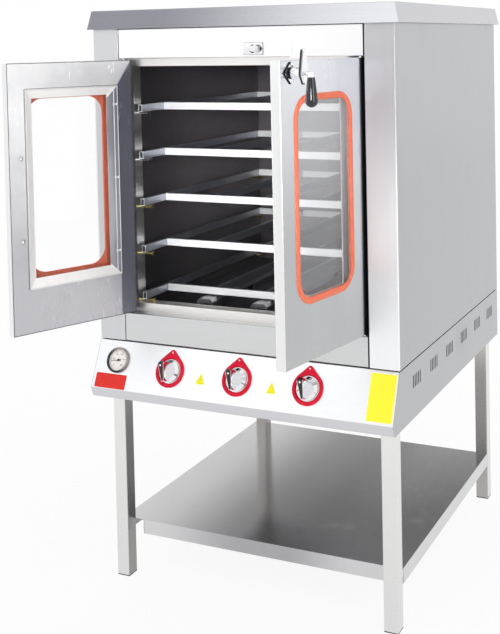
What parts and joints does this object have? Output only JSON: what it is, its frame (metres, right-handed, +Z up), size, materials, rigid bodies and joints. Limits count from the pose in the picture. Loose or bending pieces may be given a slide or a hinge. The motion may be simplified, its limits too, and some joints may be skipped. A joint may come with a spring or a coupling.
{
  "type": "gas pastry oven with stand",
  "caption": "Gas pastry oven on a square-tube stand, with side-hung glazed doors, a rotary latch, lift-out tube racks, and a sloping panel with knobs and a thermometer",
  "frame": {"origin": "on the floor, under the middle of the cabinet, between the four feet", "axes": "+X to the viewer's right when facing the doors, +Y to the back, +Z up"},
  "size_m": [0.9984, 1.3034, 1.636],
  "materials": {
    "stainless": "brushed",
    "stainless_shelf": "polished",
    "oven_steel": "satin, sooted",
    "zinc_plated": "bright",
    "yellow_zinc": "passivated",
    "bright_steel": "bright",
    "chrome": "mirror",
    "black_plastic": "glossy",
    "plug_plastic": "matt",
    "red_plastic": "glossy",
    "orange_silicone": "satin",
    "clear_glass": "clear",
    "dial_paint": "matt",
    "needle_paint": "matt",
    "brass_tap": "cast",
    "wool": "fibrous"
  },
  "bodies": {
    "cabinet": {"stand_legs": "stainless", "leg_plugs": "plug_plastic", "stand_shelf": "stainless_shelf", "base_side_left": "stainless", "base_side_right": "stainless", "base_pan": "stainless", "control_panel": "stainless", "gas_manifold": "zinc_plated", "gas_taps": "brass_tap", "knob_bezels": "red_plastic", "thermometer_case": "chrome", "thermometer_dial": "dial_paint", "thermometer_glass": "clear_glass", "side_panel_left": "stainless", "side_panel_right": "stainless", "fascia": "stainless", "lower_front_panel": "stainless", "hinge_pins": "zinc_plated", "back_panel": "stainless", "hood": "stainless", "flue": "stainless", "cabinet_top": "stainless", "oven_side_left": "oven_steel", "oven_side_right": "oven_steel", "oven_back": "oven_steel", "oven_roof": "oven_steel", "oven_floor": "oven_steel", "mouth_frame": "stainless", "insulation": "wool", "rack_bolts_upper": "zinc_plated", "rack_bolts_lower": "yellow_zinc", "burner_tubes": "oven_steel", "flame_spreaders": "bright_steel", "latch_keeper": "chrome"},
    "door_left": {"door_left_pull": "black_plastic", "door_left_outer_skin": "stainless", "door_left_inner_skin": "stainless", "door_left_beads": "stainless", "door_left_glass": "clear_glass", "door_left_gasket": "orange_silicone"},
    "door_right": {"door_right_outer_skin": "stainless", "door_right_inner_skin": "stainless", "door_right_beads": "stainless", "door_right_glass": "clear_glass", "door_right_gasket": "orange_silicone", "latch_rose": "chrome"},
    "latch": {"latch_lever": "chrome", "latch_grip": "black_plastic"},
    "knob_left": {"knob_left": "chrome", "knob_insert_left": "black_plastic"},
    "knob_middle": {"knob_middle": "chrome", "knob_insert_middle": "black_plastic"},
    "knob_right": {"knob_right": "chrome", "knob_insert_right": "black_plastic"},
    "needle": {"thermometer_needle": "needle_paint"},
    "rack_1": {"rack_1": "bright_steel"},
    "rack_2": {"rack_2": "bright_steel"},
    "rack_3": {"rack_3": "bright_steel"},
    "rack_4": {"rack_4": "bright_steel"},
    "rack_5": {"rack_5": "bright_steel"}
  },
  "joints": [
    {"name": "door_left_hinge", "type": "hinge", "parent": "cabinet", "child": "door_left", "pos_m": [-0.355, -0.464, 1.1225], "axis": [0, 0, -1], "range_deg": [-114.1, 10.9]},
    {"name": "door_right_hinge", "type": "hinge", "parent": "cabinet", "child": "door_right", "pos_m": [0.355, -0.464, 1.1225], "axis": [0, 0, 1], "range_deg": [-80.5, 44.5]},
    {"name": "latch_pivot", "type": "hinge", "parent": "door_right", "child": "latch", "pos_m": [0.32882, -0.77799, 1.446], "axis": [0.9863, -0.165, 0], "range_deg": [-22, 90]},
    {"name": "knob_left_turn", "type": "hinge", "parent": "cabinet", "child": "knob_left", "pos_m": [-0.207, -0.50146, 0.62677], "axis": [0, -0.9132, 0.4075], "range_deg": [0, 200]},
    {"name": "knob_middle_turn", "type": "hinge", "parent": "cabinet", "child": "knob_middle", "pos_m": [0, -0.50146, 0.62677], "axis": [0, -0.9132, 0.4075], "range_deg": [0, 200]},
    {"name": "knob_right_turn", "type": "hinge", "parent": "cabinet", "child": "knob_right", "pos_m": [0.207, -0.50146, 0.62677], "axis": [0, -0.9132, 0.4075], "range_deg": [0, 200]},
    {"name": "thermometer_needle_turn", "type": "hinge", "parent": "cabinet", "child": "needle", "pos_m": [-0.378, -0.49343, 0.63742], "axis": [0, 0.9132, -0.4075], "range_deg": [-25, 235], "stiffness_Nm_per_rad": 0.002},
    {"name": "rack_1_lift", "type": "slide", "parent": "cabinet", "child": "rack_1", "axis": [0, 0, 1], "range_m": [0, 0.1]},
    {"name": "rack_2_lift", "type": "slide", "parent": "cabinet", "child": "rack_2", "axis": [0, 0, 1], "range_m": [0, 0.1]},
    {"name": "rack_3_lift", "type": "slide", "parent": "cabinet", "child": "rack_3", "axis": [0, 0, 1], "range_m": [0, 0.1]},
    {"name": "rack_4_lift", "type": "slide", "parent": "cabinet", "child": "rack_4", "axis": [0, 0, 1], "range_m": [0, 0.1]},
    {"name": "rack_5_lift", "type": "slide", "parent": "cabinet", "child": "rack_5", "axis": [0, 0, 1], "range_m": [0, 0.1]}
  ]
}
